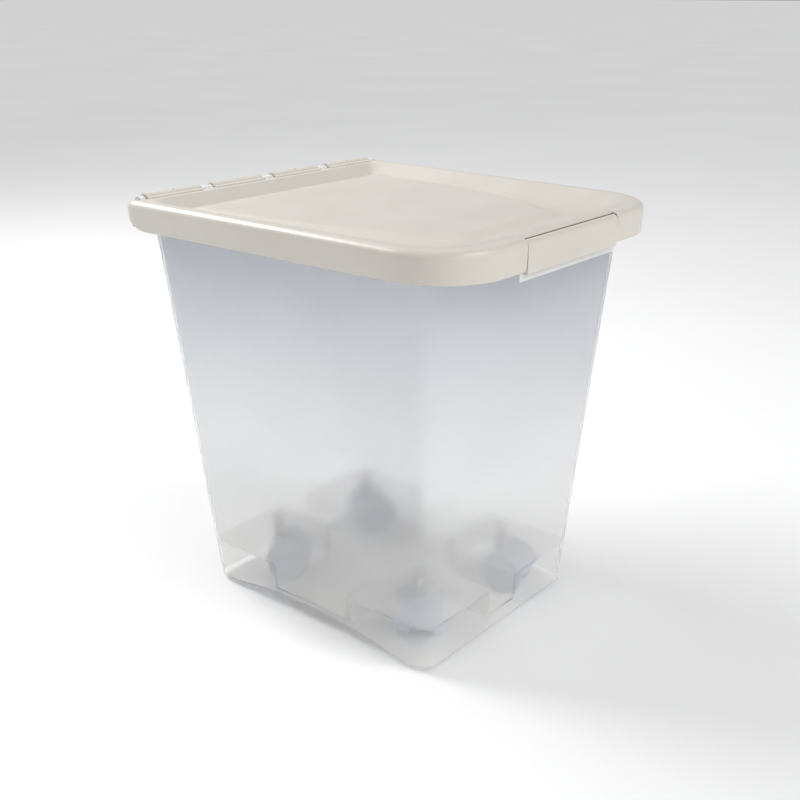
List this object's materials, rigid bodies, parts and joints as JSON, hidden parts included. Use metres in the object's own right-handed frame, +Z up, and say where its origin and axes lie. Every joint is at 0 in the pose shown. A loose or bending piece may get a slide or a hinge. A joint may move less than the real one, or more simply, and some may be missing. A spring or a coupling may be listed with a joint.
{
  "type": "pet food bin",
  "caption": "Tapered translucent storage tub on swivelling twin-wheel casters, with a hinged snap-down lid, sealing gasket and front latch flap.",
  "frame": {"origin": "on the floor under the middle of the closed bin's overall plan", "axes": "+Z up, -Y the front with the latch flap, +Y the rear with the hinge, +X the bin's right as seen from behind"},
  "size_m": [0.3634, 0.398, 0.4325],
  "materials": {
    "frosted_tub": "frosted translucent polypropylene, faintly blue, fine satin surface",
    "lid_plastic": "opaque bone-white polypropylene, satin gloss",
    "gasket_rubber": "soft grey sealing foam",
    "caster_plastic": "blue-grey moulded nylon",
    "wheel_plastic": "blue-grey moulded wheel, slightly worn tread",
    "plated_steel": "bright zinc plate"
  },
  "bodies": {
    "bin": {"tub": "frosted_tub", "grip_ring_front_left": "plated_steel", "grip_ring_front_right": "plated_steel", "grip_ring_rear_left": "plated_steel", "grip_ring_rear_right": "plated_steel"},
    "lid": {"lid": "lid_plastic", "lid_gasket": "gasket_rubber"},
    "latch": {"latch_flap": "lid_plastic"},
    "caster_front_left": {"caster_hood_front_left": "caster_plastic", "caster_stem_front_left": "plated_steel", "axle_front_left": "plated_steel"},
    "wheel_front_left_a": {"wheel_front_left_a": "wheel_plastic"},
    "wheel_front_left_b": {"wheel_front_left_b": "wheel_plastic"},
    "caster_front_right": {"caster_hood_front_right": "caster_plastic", "caster_stem_front_right": "plated_steel", "axle_front_right": "plated_steel"},
    "wheel_front_right_a": {"wheel_front_right_a": "wheel_plastic"},
    "wheel_front_right_b": {"wheel_front_right_b": "wheel_plastic"},
    "caster_rear_left": {"caster_hood_rear_left": "caster_plastic", "caster_stem_rear_left": "plated_steel", "axle_rear_left": "plated_steel"},
    "wheel_rear_left_a": {"wheel_rear_left_a": "wheel_plastic"},
    "wheel_rear_left_b": {"wheel_rear_left_b": "wheel_plastic"},
    "caster_rear_right": {"caster_hood_rear_right": "caster_plastic", "caster_stem_rear_right": "plated_steel", "axle_rear_right": "plated_steel"},
    "wheel_rear_right_a": {"wheel_rear_right_a": "wheel_plastic"},
    "wheel_rear_right_b": {"wheel_rear_right_b": "wheel_plastic"}
  },
  "joints": [
    {"name": "lid_hinge", "type": "hinge", "parent": "bin", "child": "lid", "pos_m": [0, 0.192, 0.4255], "axis": [-1, 0, 0], "range_deg": [0, 110]},
    {"name": "latch_hinge", "type": "hinge", "parent": "lid", "child": "latch", "pos_m": [0, -0.194, 0.421], "axis": [-1, 0, 0], "range_deg": [0, 110]},
    {"name": "swivel_front_left", "type": "hinge", "parent": "bin", "child": "caster_front_left", "pos_m": [-0.07, -0.083, 0.05], "axis": [0, 0, 1], "continuous": true},
    {"name": "spin_front_left_a", "type": "hinge", "parent": "caster_front_left", "child": "wheel_front_left_a", "pos_m": [-0.06234, -0.07657, 0.022], "axis": [-0.6428, 0.766, 0], "continuous": true},
    {"name": "spin_front_left_b", "type": "hinge", "parent": "caster_front_left", "child": "wheel_front_left_b", "pos_m": [-0.06234, -0.07657, 0.022], "axis": [-0.6428, 0.766, 0], "continuous": true},
    {"name": "swivel_front_right", "type": "hinge", "parent": "bin", "child": "caster_front_right", "pos_m": [0.07, -0.083, 0.05], "axis": [0, 0, 1], "continuous": true},
    {"name": "spin_front_right_a", "type": "hinge", "parent": "caster_front_right", "child": "wheel_front_right_a", "pos_m": [0.07208, -0.09278, 0.022], "axis": [0.9781, 0.2079, 0], "continuous": true},
    {"name": "spin_front_right_b", "type": "hinge", "parent": "caster_front_right", "child": "wheel_front_right_b", "pos_m": [0.07208, -0.09278, 0.022], "axis": [0.9781, 0.2079, 0], "continuous": true},
    {"name": "swivel_rear_left", "type": "hinge", "parent": "bin", "child": "caster_rear_left", "pos_m": [-0.07, 0.117, 0.05], "axis": [0, 0, 1], "continuous": true},
    {"name": "spin_rear_left_a", "type": "hinge", "parent": "caster_rear_left", "child": "wheel_rear_left_a", "pos_m": [-0.06357, 0.10934, 0.022], "axis": [0.766, 0.6428, 0], "continuous": true},
    {"name": "spin_rear_left_b", "type": "hinge", "parent": "caster_rear_left", "child": "wheel_rear_left_b", "pos_m": [-0.06357, 0.10934, 0.022], "axis": [0.766, 0.6428, 0], "continuous": true},
    {"name": "swivel_rear_right", "type": "hinge", "parent": "bin", "child": "caster_rear_right", "pos_m": [0.07, 0.117, 0.05], "axis": [0, 0, 1], "continuous": true},
    {"name": "spin_rear_right_a", "type": "hinge", "parent": "caster_rear_right", "child": "wheel_rear_right_a", "pos_m": [0.07891, 0.11246, 0.022], "axis": [0.454, 0.891, 0], "continuous": true},
    {"name": "spin_rear_right_b", "type": "hinge", "parent": "caster_rear_right", "child": "wheel_rear_right_b", "pos_m": [0.07891, 0.11246, 0.022], "axis": [0.454, 0.891, 0], "continuous": true}
  ]
}
